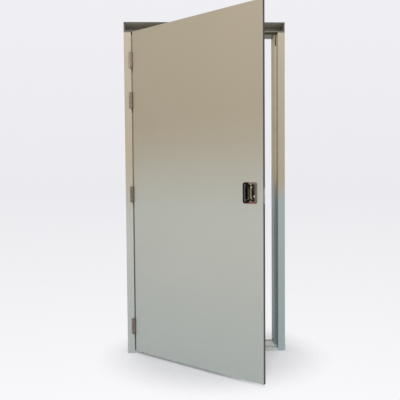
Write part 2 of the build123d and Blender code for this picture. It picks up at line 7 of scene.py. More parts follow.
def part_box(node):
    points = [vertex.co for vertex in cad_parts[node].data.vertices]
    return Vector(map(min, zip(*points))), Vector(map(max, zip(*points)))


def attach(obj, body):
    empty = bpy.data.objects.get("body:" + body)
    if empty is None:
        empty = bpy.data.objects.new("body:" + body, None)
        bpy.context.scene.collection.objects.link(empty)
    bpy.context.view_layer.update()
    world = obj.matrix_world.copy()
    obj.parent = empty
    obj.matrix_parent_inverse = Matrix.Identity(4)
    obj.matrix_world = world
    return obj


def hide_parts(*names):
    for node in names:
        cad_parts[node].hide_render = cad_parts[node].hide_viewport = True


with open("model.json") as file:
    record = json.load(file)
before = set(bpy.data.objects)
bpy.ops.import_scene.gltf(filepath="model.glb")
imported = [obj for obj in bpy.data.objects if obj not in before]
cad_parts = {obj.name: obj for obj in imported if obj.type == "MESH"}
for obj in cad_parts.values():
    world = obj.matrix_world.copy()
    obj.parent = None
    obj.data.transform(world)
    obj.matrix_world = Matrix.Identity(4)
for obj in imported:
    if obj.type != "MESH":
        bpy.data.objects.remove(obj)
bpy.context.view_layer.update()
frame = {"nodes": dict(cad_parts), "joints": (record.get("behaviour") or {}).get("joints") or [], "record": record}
print("frame loaded:", len(frame["nodes"]), "nodes")

mm = 0.001
nearly = 0.01 * mm  # closer than this counts as the same place
facing = 0.9  # a normal this far along an axis faces that way
black = (0.0, 0.0, 0.0, 1.0)

# The leaf stands open at rest, so its pieces are worked out with the door shut and then swung.
swingJoint = next(j for j in frame["joints"] if j["name"] == "leaf_swing")
openAngle = math.radians(-swingJoint["range_deg"][0])
hingeAxis = Vector((swingJoint["pos_m"][0], swingJoint["pos_m"][1], 0.0))
opening = Matrix.Rotation(-openAngle, 4, "Z")
swing = Matrix.Translation(hingeAxis) @ opening @ Matrix.Translation(-hingeAxis)
shut = swing.inverted()


def shutBox(node):  # lowest and highest corners of a leaf node with the door shut
    points = [shut @ v.co for v in frame["nodes"][node].data.vertices]
    low = Vector([min(p[i] for p in points) for i in range(3)])
    high = Vector([max(p[i] for p in points) for i in range(3)])
    return low, high


leafLow, leafHigh = shutBox("front_pan")
dishLow, dishHigh = shutBox("latch_dish")
handleLow, handleHigh = shutBox("pull_handle")
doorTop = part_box("lintel_channel")[1].z
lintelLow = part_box("lintel_channel")[0].z
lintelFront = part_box("lintel_channel")[0].y
doorFront = leafLow.y


# Materials: one class wraps a socket so that shader maths reads as plain expressions.

class Signal:
    def __init__(self, finish, socket):
        self.finish = finish
        self.socket = socket

    def __add__(self, other):
        return self.finish.maths("ADD", self, other)

    def __radd__(self, other):
        return self.finish.maths("ADD", other, self)

    def __sub__(self, other):
        return self.finish.maths("SUBTRACT", self, other)

    def __rsub__(self, other):
        return self.finish.maths("SUBTRACT", other, self)

    def __mul__(self, other):
        return self.finish.maths("MULTIPLY", self, other)

    def __rmul__(self, other):
        return self.finish.maths("MULTIPLY", other, self)

    def __truediv__(self, other):
        return self.finish.maths("DIVIDE", self, other)

    def __rtruediv__(self, other):
        return self.finish.maths("DIVIDE", other, self)

    def size(self):
        return self.finish.maths("ABSOLUTE", self, 0.0)


class Finish:
    def __init__(self, name, **fixed):
        self.material = bpy.data.materials.new(name)
        self.material.use_nodes = True
        self.tree = self.material.node_tree
        self.shader = self.tree.nodes["Principled BSDF"]
        for socketName, value in fixed.items():
            self.shader.inputs[socketName.replace("_", " ")].default_value = value
        self.place = self.add("ShaderNodeTexCoord", {}, {}, "Object")

    def add(self, kind, settings, inputs, output=0):  # any node: its settings, then its sockets
        node = self.tree.nodes.new(kind)
        for name, value in settings.items():
            setattr(node, name, value)
        for key, value in inputs.items():
            if isinstance(value, Signal):
                self.tree.links.new(value.socket, node.inputs[key])
            else:
                node.inputs[key].default_value = value
        return Signal(self, node.outputs[output])

    def maths(self, operation, first, second):
        return self.add("ShaderNodeMath", {"operation": operation}, {0: first, 1: second})

    def noise(self, pattern, at=None):
        scale, detail, roughness = pattern
        inputs = {"Vector": at or self.place, "Scale": scale, "Detail": detail, "Roughness": roughness}
        return self.add("ShaderNodeTexNoise", {}, inputs)

    def moved(self, location=(0, 0, 0), rotation=(0, 0, 0), scale=(1, 1, 1), at=None):
        inputs = {"Vector": at or self.place, "Location": location, "Rotation": rotation, "Scale": scale}
        return self.add("ShaderNodeMapping", {}, inputs)

    def axis(self, letter, at=None):
        return self.add("ShaderNodeSeparateXYZ", {}, {0: at or self.place}, letter)

    def band(self, signal, low, high, fromValue=0.0, toValue=1.0):  # smooth step from low to high
        settings = {"interpolation_type": "SMOOTHSTEP"}
        inputs = {0: signal, 1: low, 2: high, 3: fromValue, 4: toValue}
        return self.add("ShaderNodeMapRange", settings, inputs)

    def blend(self, factor, first, second, mode="MIX"):  # colours
        settings = {"data_type": "RGBA", "blend_type": mode}
        return self.add("ShaderNodeMix", settings, {0: factor, 6: first, 7: second}, 2)

    def bump(self, height, distance, strength=1.0):
        inputs = {"Height": height, "Distance": distance, "Strength": strength}
        self.feed("Normal", self.add("ShaderNodeBump", {}, inputs))

    def feed(self, socketName, signal):
        self.tree.links.new(signal.socket, self.shader.inputs[socketName])


def linear(colour):  # an opaque colour given as 0 to 255 screen values
    return (*(((part / 255 + 0.055) / 1.055) ** 2.4 for part in colour), 1.0)


def shutPlace(finish):  # Object coordinates turned so that a leaf pattern runs with its edges
    turned = Matrix.Rotation(openAngle, 4, "Z") @ -hingeAxis
    return finish.moved(location=turned + hingeAxis, rotation=(0, 0, openAngle))


# Every noise is given as its scale, detail and roughness, and every range as where a step starts and ends.

paintSettings = {
    # Stone-grey paint with painted light: warm at the head and cool at the foot, with separate tones for the leaf
    # and each jamb. Climbs are shares of the door's height.
    "leaf": {"warm": (171, 159, 137), "cool": (189, 191, 182), "climb": (0.38, 0.72)},
    "hingeSide": {"warm": (186, 174, 153), "cool": (193, 195, 188), "climb": (0.34, 0.60)},
    # painted shadow of the open leaf: below mid-height the strike jamb turns cool and stays darker than the hinge
    # jamb
    "strikeSide": {"warm": (185, 173, 151), "cool": (170, 183, 183), "climb": (0.45, 0.53)},
    "footColour": (160, 176, 182),
    "footReach": 0.34,
    "footShare": 0.34,
    "sideReach": 0.3,  # the two jambs' tones meet between here and its mirror image
    "edgeColour": (24, 22, 20),  # the unlit, rolled edge that meets the jamb
    "edgeFrom": 1.2 * mm,
    "edgeTo": 0.7 * mm,
    "rebateFrom": 2 * mm,  # behind the door's front
    "rebateTo": 12 * mm,
    # painted shade in the rebate, deeper low down; above the warm stretch its tone is warmed as painted light
    "innerShade": 0.50,
    "innerTop": 0.96,
    "innerRange": (0.36, 0.62),
    "innerWarm": (1.0, 0.965, 0.87, 1),
    "warmRange": (0.50, 0.56),
    "underLintelShadeColour": (92, 92, 84),
    "underLintelShadeDrop": 6.5 * mm,  # painted shade on the jamb tops under the lintel
    "underLintelShadeSoft": 0.8 * mm,
    "headColour": (84, 86, 76),
    "headDrop": 15 * mm,  # how far the lintel's shade reaches down the rebates
    "headSoft": 4 * mm,
    "farEdge": 42 * mm,  # the rebate's back corner, painted darker as shade below the warm stretch
    "farSoft": 8 * mm,
    "farShadeColour": (112, 106, 94),
    "cloud": (2.2, 3.0, 0.55),
    "cloudRange": (0.35, 0.7),
    "cloudShare": 0.05,
    "cloudColour": (0.62, 0.64, 0.60, 1),
    "grain": (2600.0, 2.0, 0.6),
    "grainRange": (0.45, 0.8),
    "grainShare": 0.06,
    "grainColour": (0.2, 0.2, 0.19, 1),
    "splash": (38.0, 4.0, 0.7),
    "splashRange": (0.45, 0.75),
    "dustReach": 0.22,
    "dustShare": 0.18,
    "dustColour": (150, 150, 142),
    "sheen": (9.0, 3.0, 0.5),
    "roughness": 0.36,
    "sheenRoughness": 0.12,
    "dustRoughness": 0.4,
    "peel": (420.0, 2.0, 0.5),  # the paint's orange peel
    "peelGrain": 0.15,
    "peelDepth": 0.12 * mm,
    "peelStrength": 0.35,
}


# Painted light: a warm tone high up turns cool low down, bluer still near the floor
def toneOf(finish, height, tones):
    s = paintSettings
    climb = finish.band(height, *tones["climb"])
    tone = finish.blend(climb, linear(tones["cool"]), linear(tones["warm"]))
    foot = finish.band(height, 0.0, s["footReach"], s["footShare"], 0.0)
    return finish.blend(foot, tone, linear(s["footColour"]))


def leafTint(paint, at, height):  # painted shade: near black on the free edge, which meets the jamb when shut
    s = paintSettings
    face = toneOf(paint, height, s["leaf"])
    edge = paint.band(paint.axis("X", at), leafHigh.x - s["edgeFrom"], leafHigh.x - s["edgeTo"])
    return paint.blend(edge, face, linear(s["edgeColour"]))


def frameTint(paint, at, height):  # the jambs' tones differ by painted light: low down the strike jamb is darker, in the leaf's painted shadow; the rebate, its back corner and the jamb tops under the lintel get painted shade
    s = paintSettings
    side = paint.band(paint.axis("X"), -s["sideReach"], s["sideReach"])
    hingeSide = toneOf(paint, height, s["hingeSide"])
    face = paint.blend(side, hingeSide, toneOf(paint, height, s["strikeSide"]))
    inward = paint.band(paint.axis("Y"), doorFront + s["rebateFrom"], doorFront + s["rebateTo"])
    # painted shade deepens low in the rebate, and painted warm light tints its upper part
    dim = paint.band(height, *s["innerRange"], s["innerShade"], s["innerTop"])
    warm = paint.band(height, *s["warmRange"])
    inner = paint.blend(warm, face, paint.blend(1.0, face, s["innerWarm"], "MULTIPLY"))
    shaded = paint.blend(inward, face, paint.blend(dim, black, inner))
    rise = paint.axis("Z") - lintelLow
    # painted shade in a band across the jamb tops just under the lintel
    underLintelShade = paint.band(rise, -s["underLintelShadeDrop"], -s["underLintelShadeDrop"] + s["underLintelShadeSoft"])
    head = paint.band(rise, -s["headDrop"], -s["headDrop"] + s["headSoft"]) * inward
    # painted shade on the rebate's back corner below the warm stretch
    far = paint.band(paint.axis("Y"), s["farEdge"], s["farEdge"] + s["farSoft"]) * (1.0 - warm)
    farShaded = paint.blend(far, shaded, linear(s["farShadeColour"]))
    underLintelShaded = paint.blend(underLintelShade, farShaded, linear(s["underLintelShadeColour"]))
    return paint.blend(head, underLintelShaded, linear(s["headColour"]))


channelSettings = {
    "lipDark": (58, 50, 30),
    "lipPale": (116, 108, 95),
    "lipFrom": 0.4 * mm,  # behind the lintel's front
    "lipTo": 1.2 * mm,
    "topFrom": 9 * mm,  # below the door's top
    "topTo": 6 * mm,
    "insideDark": (174, 172, 162),
    "insidePale": (190, 186, 176),
    # painted shade: the right end plate's own darker tones
    "endShadeDark": (146, 137, 122),
    "endShadeLight": (164, 155, 138),
    "streak": (1.0, 3.0, 0.6),
    "streakScale": (30, 30, 4),
}


def channelStreak(paint):
    return paint.noise(channelSettings["streak"], paint.moved(scale=channelSettings["streakScale"]))


def channelTint(paint, at, height):  # the open channel over the jambs, with a dark top lip
    s = channelSettings
    inward = paint.band(paint.axis("Y"), lintelFront + s["lipFrom"], lintelFront + s["lipTo"])
    inside = paint.blend(channelStreak(paint), linear(s["insideDark"]), linear(s["insidePale"]))
    top = paint.band(paint.axis("Z"), doorTop - s["topFrom"], doorTop - s["topTo"])
    lip = paint.blend(top, linear(s["lipPale"]), linear(s["lipDark"]))
    return paint.blend(inward, lip, inside)


# Painted shade: the right end plate gets its own darker copy of the channel's paint, toned for how the light falls
# on it
def rightEndShadeTint(paint, at, height):
    s = channelSettings
    return paint.blend(channelStreak(paint), linear(s["endShadeDark"]), linear(s["endShadeLight"]))


sillSettings = {
    "wear": (16.0, 4.0, 0.6),
    "dull": (194, 196, 190),
    "pale": (212, 213, 207),
    "backRange": (20 * mm, 34 * mm),
    "backColour": (138, 134, 116),
}


def sillTint(paint, at, height):  # pale in front, dull along its back edge
    s = sillSettings
    clean = paint.blend(paint.noise(s["wear"]), linear(s["dull"]), linear(s["pale"]))
    back = paint.band(paint.axis("Y"), *s["backRange"])
    return paint.blend(back, clean, linear(s["backColour"]))


def makePaint(name, tintOf, swings=False):
    s = paintSettings
    paint = Finish(name, Specular_IOR_Level=0.45)
    at = shutPlace(paint) if swings else paint.place
    tint = tintOf(paint, at, paint.axis("Z") / doorTop)
    cloud = paint.band(paint.noise(s["cloud"], at), *s["cloudRange"], 0.0, s["cloudShare"])
    cloudy = paint.blend(cloud, tint, s["cloudColour"], "MULTIPLY")
    grain = paint.noise(s["grain"], at)
    speckle = paint.band(grain, *s["grainRange"], 0.0, s["grainShare"])
    grained = paint.blend(speckle, cloudy, s["grainColour"])
    splash = paint.band(paint.noise(s["splash"], at), *s["splashRange"])
    dust = (1.0 - paint.band(paint.axis("Z"), 0.0, s["dustReach"])) * splash * s["dustShare"]
    paint.feed("Base Color", paint.blend(dust, grained, linear(s["dustColour"])))
    sheen = paint.noise(s["sheen"], at)
    paint.feed("Roughness", s["roughness"] + sheen * s["sheenRoughness"] + dust * s["dustRoughness"])
    peel = paint.noise(s["peel"], at)
    paint.bump(peel + grain * s["peelGrain"], s["peelDepth"], s["peelStrength"])
    return paint.material


leafPaint = makePaint("leaf paint", leafTint, swings=True)
framePaint = makePaint("frame paint", frameTint)
channelPaint = makePaint("channel paint", channelTint)
rightEndShadePaint = makePaint("channel end paint", rightEndShadeTint)
sillPaint = makePaint("sill paint", sillTint)
print("paint made")


sealSettings = {
    # painted light: warm and pale high up, cool and darker low down
    "warm": (195, 188, 165),
    "cool": (120, 135, 134),
    "sillTone": (186, 190, 186),
    "sillRange": (0.012, 0.022),  # shares of the door's height
    "warmRange": (0.45, 0.56),
    "headDrop": 30 * mm,  # the seal lies in the lintel's shade this far down
    "strikeDrop": 88 * mm,
    "strikeRange": (0.3, 0.35),
    "softness": 6 * mm,
    "shadeColour": (84, 80, 60),
    "chalk": (24.0, 3.0, 0.5),
    "bloomRange": (0.45, 0.75),
    "bloomShare": 0.25,
    "bloomColour": (0.34, 0.35, 0.32, 1),
    "fine": (900.0, 3.0, 0.6),
    "roughness": 0.5,
    "fineRoughness": 0.22,
    "fineDepth": 0.15 * mm,
    "fineStrength": 0.5,
}


def makeRubber():
    # Grey seal with a chalky bloom, pale again at the sill; painted light makes it pale high up and darker and
    # cooler low down, and painted shade darkens it under the lintel
    s = sealSettings
    rubber = Finish("seal rubber", Specular_IOR_Level=0.35)
    height = rubber.axis("Z") / doorTop
    low = rubber.blend(rubber.band(height, *s["sillRange"]), linear(s["sillTone"]), linear(s["cool"]))
    tone = rubber.blend(rubber.band(height, *s["warmRange"]), low, linear(s["warm"]))
    bloom = rubber.band(rubber.noise(s["chalk"]), *s["bloomRange"], 0.0, s["bloomShare"])
    bloomed = rubber.blend(bloom, tone, s["bloomColour"])
    rise = rubber.axis("Z") - lintelLow
    strike = rubber.band(rubber.axis("X"), *s["strikeRange"], s["headDrop"], s["strikeDrop"])
    shade = rubber.band(rise + strike, 0.0, s["softness"])
    rubber.feed("Base Color", rubber.blend(shade, bloomed, linear(s["shadeColour"])))
    fine = rubber.noise(s["fine"])
    rubber.feed("Roughness", s["roughness"] + fine * s["fineRoughness"])
    rubber.bump(fine, s["fineDepth"], s["fineStrength"])
    return rubber.material


steelSettings = {
    "hinge": {"low": (134, 123, 112), "high": (152, 138, 118), "climb": (0.60, 0.95)},
    "hingeWear": (0.80, 0.80, 0.80, 1),
    "plated": {"low": (150, 148, 140), "high": (182, 180, 170)},
    "chrome": {"low": (205, 204, 200), "high": (226, 225, 222)},
    "brush": (1.0, 4.0, 0.65),
    "patch": (60.0, 3.0, 0.55),
    "patchRange": (0.3, 0.72),
    "brushRoughness": 0.16,
    "patchRoughness": 0.08,
    "brushDepth": 0.04 * mm,
    "brushStrength": 0.4,
}


def hingeTint(steel, worn):  # darker low down, nearer to the paint's tone at the head
    tones = steelSettings["hinge"]
    climb = steel.band(steel.axis("Z") / doorTop, *tones["climb"])
    base = steel.blend(climb, linear(tones["low"]), linear(tones["high"]))
    return steel.blend(worn, base, steelSettings["hingeWear"], "MULTIPLY")


def platedTint(steel, worn):
    tones = steelSettings["plated"]
    return steel.blend(worn, linear(tones["low"]), linear(tones["high"]))


def chromeTint(steel, worn):
    tones = steelSettings["chrome"]
    return steel.blend(worn, linear(tones["low"]), linear(tones["high"]))


def makeSteel(name, tintOf, roughness, brushScale):
    s = steelSettings
    steel = Finish(name, Metallic=1.0)
    brush = steel.noise(s["brush"], steel.moved(scale=brushScale))
    patch = steel.noise(s["patch"])
    steel.feed("Base Color", tintOf(steel, steel.band(patch, *s["patchRange"])))
    steel.feed("Roughness", roughness + brush * s["brushRoughness"] + patch * s["patchRoughness"])
    steel.bump(brush, s["brushDepth"], s["brushStrength"])
    return steel.material


hingeSteel = makeSteel("hinge steel", hingeTint, 0.38, (900, 900, 60))
platedSteel = makeSteel("zinc plated steel", platedTint, 0.3, (700, 700, 90))
chrome = makeSteel("chromed lock", chromeTint, 0.08, (1400, 1400, 1400))
sealRubber = makeRubber()


polishSettings = {
    # painted reflections: the tones of the streaks, the rims and the foot
    "shade": (34, 32, 27),
    "sheen": (98, 94, 88),
    "glint": (186, 178, 148),
    "rim": (136, 120, 110),
    "foot": (130, 86, 78),
    "sheenAt": 0.15,  # share of the dish's width
    "glintAt": 0.56,
    "glintWidth": 0.09,
    "rimRange": (0.66, 1.0),
    "turnRange": (0.38, 0.48),  # where the top and foot rims go from shade to light
    "rimWidth": 11 * mm,
    "rimBand": 3 * mm,
    "sunkRange": (1 * mm, 16 * mm),  # behind the door's front
    "swirl": (1.0, 5.0, 0.6),
    "swirlScale": (260, 260, 2400),
    "wipe": (75.0, 4.0, 0.6),
    "wander": 0.05,  # how far the streaks stray, as a share of the width
    "bowlRange": (0.40, 0.70),
    "bowlShare": 0.5,
    "roughness": 0.12,
    "swirlRoughness": 0.1,
    "wipeRoughness": 0.08,
    "swirlDepth": 0.03 * mm,
    "swirlStrength": 0.35,
}


def makePolished():
    # Deep-drawn stainless with painted reflections: upright streaks of shade, sheen and glint, evened out inside
    # the bowl
    s = polishSettings
    tones = {name: linear(s[name]) for name in ("shade", "sheen", "glint", "rim", "foot")}
    steel = Finish("polished stainless", Metallic=1.0)
    place = shutPlace(steel)
    middle = (dishLow + dishHigh) / 2
    swirl = steel.noise(s["swirl"], steel.moved(scale=s["swirlScale"], at=place))
    wipe = steel.noise(s["wipe"], place)
    across = (steel.axis("X", place) - dishLow.x) / (dishHigh.x - dishLow.x)
    wander = across + (wipe - 0.5) * s["wander"]
    sheen = steel.band((wander - s["sheenAt"]).size(), 0.0, s["glintWidth"], 1.0, 0.0)
    glint = steel.band((wander - s["glintAt"]).size(), 0.0, s["glintWidth"], 1.0, 0.0)
    dim = steel.blend(sheen, tones["shade"], tones["sheen"])
    lit = steel.blend(glint, dim, tones["glint"])
    streaks = steel.blend(steel.band(wander, *s["rimRange"]), lit, tones["rim"])
    turn = steel.band(wander, *s["turnRange"])
    top = steel.blend(turn, tones["shade"], tones["rim"])
    foot = steel.blend(turn, tones["shade"], tones["foot"])
    rise = steel.axis("Z", place) - middle.z
    reach = (dishHigh.z - dishLow.z) / 2 - s["rimWidth"]
    capped = steel.blend(steel.band(rise, reach, reach + s["rimBand"]), streaks, top)
    rimmed = steel.blend(steel.band(0.0 - rise, reach, reach + s["rimBand"]), capped, foot)
    sunk = steel.band(steel.axis("Y", place) - doorFront, *s["sunkRange"])
    bowl = steel.blend(steel.band(swirl, *s["bowlRange"]), tones["sheen"], tones["rim"])
    steel.feed("Base Color", steel.blend(sunk, rimmed, steel.blend(s["bowlShare"], rimmed, bowl)))
    steel.feed("Roughness", s["roughness"] + swirl * s["swirlRoughness"] + wipe * s["wipeRoughness"])
    steel.bump(swirl, s["swirlDepth"], s["swirlStrength"])
    return steel.material


polishedSteel = makePolished()


primerSettings = {
    "mist": (300.0, 3.0, 0.6),
    "patch": (7.0, 3.0, 0.5),
    "dark": (0.16, 0.165, 0.17, 1),
    "light": (0.24, 0.245, 0.25, 1),
    "roughness": 0.6,
    "mistRoughness": 0.25,
    "mistDepth": 0.2 * mm,
    "mistStrength": 0.4,
}


def makePrimer():
    s = primerSettings
    primer = Finish("grey primer", Specular_IOR_Level=0.25)
    mist = primer.noise(s["mist"])
    primer.feed("Base Color", primer.blend(primer.noise(s["patch"]), s["dark"], s["light"]))
    primer.feed("Roughness", s["roughness"] + mist * s["mistRoughness"])
    primer.bump(mist, s["mistDepth"], s["mistStrength"])
    return primer.material


foamSettings = {
    "age": (14.0, 3.0, 0.5),
    "dark": (0.70, 0.60, 0.38, 1),
    "light": (0.80, 0.72, 0.50, 1),
    "cellScale": 900.0,
    "cellDepth": 0.4 * mm,
    "cellStrength": 0.6,
}


def makeFoam():
    s = foamSettings
    foam = Finish("rigid foam", Roughness=0.9, Specular_IOR_Level=0.15)
    inputs = {"Vector": foam.place, "Scale": s["cellScale"]}
    cells = foam.add("ShaderNodeTexVoronoi", {"feature": "F1"}, inputs, "Distance")
    foam.feed("Base Color", foam.blend(foam.noise(s["age"]), s["dark"], s["light"]))
    foam.bump(cells, s["cellDepth"], s["cellStrength"])
    return foam.material


primer = makePrimer()
foam = makeFoam()
print("metal, rubber, primer and foam made")

finishes = {
    "frame_paint": framePaint,
    "leaf_paint": leafPaint,
    "hinge_steel": hingeSteel,
    "primed_steel": primer,
    "polished_stainless": polishedSteel,
    "plated_steel": platedSteel,
    "chromed_lock": chrome,
    "black_rubber": sealRubber,
    "foam_core": foam,
}

for subpart in frame["record"]["subparts"]:
    node = frame["nodes"][subpart["node"]]
    finish = finishes[subpart["material_slot"]]
    for materialSlot in node.material_slots:
        materialSlot.material = finish
# the right end plate takes the darker copy of the channel's paint as painted shade
for name, finish in (("lintel_channel", channelPaint), ("lintel_end_left", channelPaint),
                     ("lintel_end_right", rightEndShadePaint), ("sill", sillPaint)):
    for materialSlot in frame["nodes"][name].material_slots:
        materialSlot.material = finish
print("every node has its finish")


# New pieces are modelled with the door shut, and those that move with the leaf are then swung open.

def startClean():
    if bpy.context.object and bpy.context.object.mode != "OBJECT":
        bpy.ops.object.mode_set(mode="OBJECT")
    bpy.ops.object.select_all(action="DESELECT")


def addSolid(kind, name, **settings):
    startClean()
    getattr(bpy.ops.mesh, "primitive_" + kind + "_add")(**settings)
    piece = bpy.context.object
    piece.name = name
    piece.data.name = name
    bpy.ops.object.transform_apply(location=True, rotation=True, scale=True)
    return piece


def pick(piece, wanted, kind="FACE"):  # leaves edit mode on, with only the wanted parts selected
    bpy.context.view_layer.objects.active = piece
    if piece.mode != "EDIT":
        bpy.ops.object.mode_set(mode="EDIT")
    bpy.ops.mesh.select_mode(type=kind)
    bpy.ops.mesh.select_all(action="DESELECT")
    bpy.ops.object.mode_set(mode="OBJECT")
    mesh = piece.data
    if kind == "FACE":
        for face in mesh.polygons:
            face.select = wanted(face.center, face.normal)
    elif kind == "EDGE":
        for edge in mesh.edges:
            ends = [mesh.vertices[i].co for i in edge.vertices]
            edge.select = wanted(*ends)
    else:
        for vertex in mesh.vertices:
            vertex.select = wanted(vertex.co)
    bpy.ops.object.mode_set(mode="EDIT")


def applied(piece, kind, **settings):  # adds a modifier and applies it at once
    startClean()
    piece.select_set(True)
    bpy.context.view_layer.objects.active = piece
    modifier = piece.modifiers.new(kind.lower(), kind)
    for name, value in settings.items():
        setattr(modifier, name, value)
    bpy.ops.object.modifier_apply(modifier=modifier.name)


def joined(pieces):
    startClean()
    for piece in pieces:
        piece.select_set(True)
    bpy.context.view_layer.objects.active = pieces[0]
    bpy.ops.object.join()
    return pieces[0]


def finished(piece, body, slotName, nodes=(), swings=True, smooth=32):
    startClean()
    piece.select_set(True)
    bpy.context.view_layer.objects.active = piece
    bpy.ops.object.mode_set(mode="EDIT")
    bpy.ops.mesh.select_all(action="SELECT")
    bpy.ops.mesh.remove_doubles(threshold=nearly)
    bpy.ops.mesh.normals_make_consistent(inside=False)
    bpy.ops.object.mode_set(mode="OBJECT")
    if swings:
        piece.matrix_world = swing @ piece.matrix_world
    bpy.ops.object.transform_apply(location=True, rotation=True, scale=True)
    bpy.ops.object.shade_smooth_by_angle(angle=math.radians(smooth))
    piece.data.materials.clear()
    piece.data.materials.append(finishes[slotName])
    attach(piece, body)
    if nodes:
        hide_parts(*nodes)
    print(piece.name, "made:", len(piece.data.polygons), "faces")


# The dish: a flange and a bowl drawn from one stainless sheet, with two lugs for the handle's pin

dishSettings = {
    "gauge": 1.5 * mm,
    "flangeCorner": 12 * mm,
    "mouthWidth": 62 * mm,
    "mouthHeight": 88 * mm,
    "mouthCorner": 14 * mm,
    "cornerSteps": 10,
    "bowlDepth": 22 * mm,
    "taperWidth": 0.90,  # bowl's floor over its mouth
    "rimRound": 2.2 * mm,
    "floorRound": 4.0 * mm,
    "roundSteps": 5,
    "floorInset": 8 * mm,
    "edgeRound": 0.45 * mm,
    "lugGauge": 3.0 * mm,
    "lugGap": 7.0 * mm,
    "lugRadius": 5.0 * mm,
    "lugRoundShare": 0.98,
    "lugRoundSteps": 8,
    "lugSink": 0.3 * mm,  # into the bowl's floor
    "lugEdge": 0.35 * mm,
    "mouthReach": 0.1 * mm,
    "sharp": math.radians(50),
    "lugSharp": math.radians(60),
}


def roundedLoop(width, height, corner, steps, at):  # adds a rounded rectangle of edges, facing front
    bpy.ops.mesh.select_all(action="DESELECT")
    bpy.ops.mesh.primitive_plane_add(size=1.0, location=at, rotation=(math.pi / 2, 0, 0))
    bpy.ops.transform.resize(value=(width, 1, height), center_override=at)
    bpy.ops.mesh.bevel(offset=corner, segments=steps, affect="VERTICES")
    bpy.ops.mesh.delete(type="ONLY_FACE")


def onMouth(co, middle, s):
    across = abs(co.x - middle.x) < s["mouthWidth"] / 2 + s["mouthReach"]
    return across and abs(co.z - middle.z) < s["mouthHeight"] / 2 + s["mouthReach"]


def makeDish():
    s = dishSettings
    middle = (dishLow + dishHigh) / 2
    width, height = dishHigh.x - dishLow.x, dishHigh.z - dishLow.z
    front = Vector((middle.x, dishLow.y, middle.z))
    dish = addSolid("plane", "latch_dish_shell", size=1.0, location=front)
    bpy.ops.object.mode_set(mode="EDIT")
    bpy.ops.mesh.select_all(action="SELECT")
    bpy.ops.mesh.delete(type="VERT")
    roundedLoop(width, height, s["flangeCorner"], s["cornerSteps"], front)
    mouthWidth, mouthHeight = s["mouthWidth"], s["mouthHeight"]
    roundedLoop(mouthWidth, mouthHeight, s["mouthCorner"], s["cornerSteps"], front)
    bpy.ops.mesh.select_all(action="SELECT")
    bpy.ops.mesh.bridge_edge_loops()
    # The bowl is drawn down ring by ring: a rounded rim, a straight wall, a rounded floor
    depth, rim, foot, steps = s["bowlDepth"], s["rimRound"], s["floorRound"], s["roundSteps"]
    rings = []
    for step in range(1, steps + 1):
        turn = math.pi / 2 * step / steps
        rings.append((rim * (1 - math.cos(turn)), rim * math.sin(turn)))
    wallRun = depth - rim - foot
    lean = (1 - s["taperWidth"]) * mouthWidth / 2
    rings.append((rim + wallRun, rim + lean))
    for step in range(1, steps + 1):
        turn = math.pi / 2 * step / steps
        rings.append((rim + wallRun + foot * math.sin(turn), rim + lean + foot * (1 - math.cos(turn))))
    pick(dish, lambda co: onMouth(co, middle, s), "VERT")
    deep, inset = 0.0, 0.0
    for nextDeep, nextInset in rings:
        across = (mouthWidth - 2 * nextInset) / (mouthWidth - 2 * inset)
        upright = (mouthHeight - 2 * nextInset) / (mouthHeight - 2 * inset)
        bpy.ops.mesh.extrude_edges_move(TRANSFORM_OT_translate={"value": (0, nextDeep - deep, 0)})
        pivot = (middle.x, front.y + nextDeep, middle.z)
        bpy.ops.transform.resize(value=(across, 1, upright), center_override=pivot)
        deep, inset = nextDeep, nextInset
    bpy.ops.mesh.edge_face_add()
    bpy.ops.mesh.inset(thickness=s["floorInset"])
    bpy.ops.mesh.select_all(action="SELECT")
    bpy.ops.mesh.normals_make_consistent(inside=False)
    bpy.ops.object.mode_set(mode="OBJECT")
    if dish.data.polygons[0].normal.y > 0:
        bpy.ops.object.mode_set(mode="EDIT")
        bpy.ops.mesh.flip_normals()
        bpy.ops.object.mode_set(mode="OBJECT")
    applied(dish, "SOLIDIFY", thickness=s["gauge"], offset=-1.0)
    applied(dish, "BEVEL", width=s["edgeRound"], segments=2, limit_method="ANGLE", angle_limit=s["sharp"])
    floorY = front.y + depth - s["gauge"]
    pinZ = handleLow.z + s["lugRadius"]
    pinY = handleHigh.y - s["lugRadius"]
    lugs = []
    for side in (-1, 1):
        rise = floorY - pinY + s["lugRadius"]
        across = middle.x + side * (s["lugGap"] + s["lugGauge"] / 2)
        at = (across, floorY - rise / 2 + s["lugSink"], pinZ)
        scale = (s["lugGauge"], rise, 2 * s["lugRadius"])
        lug = addSolid("cube", "lug", size=1.0, location=at, scale=scale)
        pick(lug, lambda a, b: max(a.y, b.y) < floorY - rise / 2 and abs(a.x - b.x) > 1 * mm, "EDGE")
        bpy.ops.mesh.bevel(offset=s["lugRadius"] * s["lugRoundShare"], segments=s["lugRoundSteps"])
        bpy.ops.object.mode_set(mode="OBJECT")
        applied(lug, "BEVEL", width=s["lugEdge"], segments=2, limit_method="ANGLE",
                angle_limit=s["lugSharp"])
        lugs.append(lug)
    dish = joined([dish] + lugs)
    finished(dish, "leaf", "polished_stainless", ("latch_dish",), smooth=40)


# The pull handle: a T with soft edges, tapered shank and a round boss on its pin

gripSettings = {
    "barHeight": 14 * mm,
    "barCorner": 5 * mm,
    "shankWidth": 13 * mm,
    "neckShare": 0.75,
    "thickness": 7 * mm,
    "bossRadius": 5 * mm,
    "softEdge": 1.5 * mm,
    "softSteps": 4,
    "armSteps": 3,
    "shankSteps": 6,
    "barCornerSteps": 7,
    "neckRound": 4 * mm,
    "neckRoundSteps": 5,
    "neckReach": 0.2 * mm,
    "bossSides": 40,
    "bossEdge": 0.5 * mm,
    "sharp": math.radians(50),
}


def runsAlongY(a, b):
    return abs(a.x - b.x) < nearly and abs(a.z - b.z) < nearly


